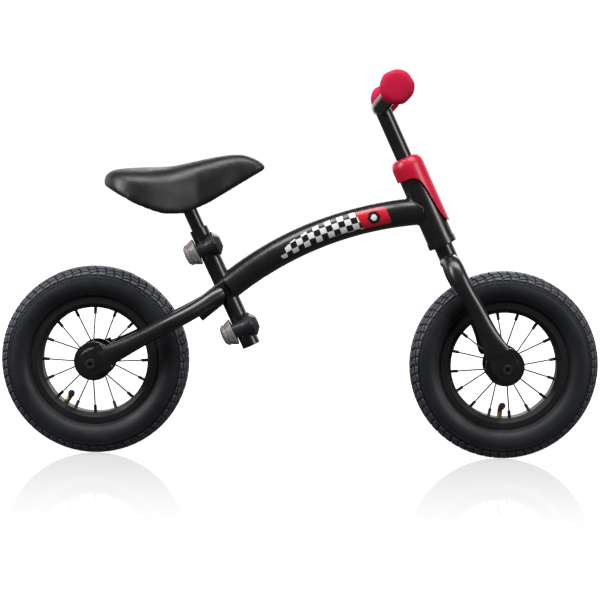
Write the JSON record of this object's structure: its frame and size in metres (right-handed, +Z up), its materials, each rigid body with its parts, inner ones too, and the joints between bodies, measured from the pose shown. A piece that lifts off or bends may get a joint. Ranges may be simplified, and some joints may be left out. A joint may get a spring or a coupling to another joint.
{
  "type": "balance bike",
  "caption": "Small pedal-free balance bike with an arched tube frame, pneumatic spoked wheels, height-adjustable saddle and quill handlebar.",
  "frame": {"origin": "on the ground, midway between the two tyre contact points, in the bike's middle plane", "axes": "+X forward, +Z up, so the bike's right side faces -Y"},
  "size_m": [0.824, 0.4006, 0.5222],
  "materials": {
    "frame_paint": "satin metallic black paint",
    "red_plastic": "satin crimson plastic",
    "grip_rubber": "matt crimson rubber",
    "tyre_rubber": "matt black rubber",
    "tube_rubber": "matt black rubber",
    "rim_paint": "satin black",
    "steel": "brushed",
    "black_steel": "black oxide",
    "hub_plastic": "satin black",
    "knob_plastic": "satin black",
    "grey_plastic": "translucent grey",
    "saddle_vinyl": "soft black vinyl on foam",
    "base_plastic": "matt black",
    "brass": "satin"
  },
  "bodies": {
    "frame": {"main_tube": "frame_paint", "head_tube": "frame_paint", "seat_tube": "frame_paint", "rear_yoke": "frame_paint", "right_stay": "frame_paint", "left_stay": "frame_paint", "head_cover": "red_plastic", "upper_headset_cup": "frame_paint", "lower_headset_cup": "frame_paint", "upper_clamp_barrel": "knob_plastic", "upper_clamp_cotters": "steel", "upper_clamp_bolt": "steel", "upper_counter_grip": "grey_plastic", "lower_clamp_barrel": "knob_plastic", "lower_clamp_cotters": "steel", "lower_clamp_bolt": "steel", "lower_counter_grip": "grey_plastic", "rear_axle": "steel", "rear_axle_bolts": "black_steel", "rear_axle_spacers": "steel"},
    "steering": {"fork_steerer": "frame_paint", "right_fork_leg": "frame_paint", "left_fork_leg": "frame_paint", "headset_races": "black_steel", "headset_bearings": "steel", "handlebar": "frame_paint", "handlebar_stem": "frame_paint", "stem_wedge": "steel", "stem_bolt": "steel", "right_grip": "grip_rubber", "left_grip": "grip_rubber", "front_axle": "steel", "front_axle_bolts": "black_steel", "front_axle_spacers": "steel"},
    "front_wheel": {"front_tyre": "tyre_rubber", "front_inner_tube": "tube_rubber", "front_rim": "rim_paint", "front_spokes": "black_steel", "front_spoke_nipples": "black_steel", "front_hub_shell": "hub_plastic", "front_hub_bearings": "steel", "front_valve_stem": "brass", "front_valve_cap": "knob_plastic"},
    "rear_wheel": {"rear_tyre": "tyre_rubber", "rear_inner_tube": "tube_rubber", "rear_rim": "rim_paint", "rear_spokes": "black_steel", "rear_spoke_nipples": "black_steel", "rear_hub_shell": "hub_plastic", "rear_hub_bearings": "steel", "rear_valve_stem": "brass", "rear_valve_cap": "knob_plastic"},
    "seat": {"seat_post": "frame_paint", "saddle_pad": "saddle_vinyl", "saddle_base": "base_plastic", "saddle_bracket": "frame_paint", "saddle_bolts": "black_steel"},
    "upper_hand_knob": {"upper_knob": "knob_plastic"},
    "lower_hand_knob": {"lower_knob": "knob_plastic"}
  },
  "joints": [
    {"name": "steering_turn", "type": "hinge", "parent": "frame", "child": "steering", "pos_m": [0.1954, 0, 0.2946], "axis": [-0.4226, 0, 0.9063], "range_deg": [-80, 80]},
    {"name": "front_wheel_spin", "type": "hinge", "parent": "steering", "child": "front_wheel", "pos_m": [0.282, 0, 0.13], "axis": [0, 1, 0], "continuous": true},
    {"name": "rear_wheel_spin", "type": "hinge", "parent": "frame", "child": "rear_wheel", "pos_m": [-0.282, 0, 0.13], "axis": [0, 1, 0], "continuous": true},
    {"name": "seat_slide", "type": "slide", "parent": "frame", "child": "seat", "axis": [-0.4226, 0, 0.9063], "range_m": [-0.012, 0.068]},
    {"name": "upper_knob_turn", "type": "hinge", "parent": "frame", "child": "upper_hand_knob", "pos_m": [-0.12913, -0.0145, 0.28744], "axis": [0.9063, 0, 0.4226], "range_deg": [0, 540]},
    {"name": "lower_knob_turn", "type": "hinge", "parent": "frame", "child": "lower_hand_knob", "pos_m": [-0.07807, -0.0145, 0.17796], "axis": [0.9063, 0, 0.4226], "range_deg": [0, 540]}
  ]
}
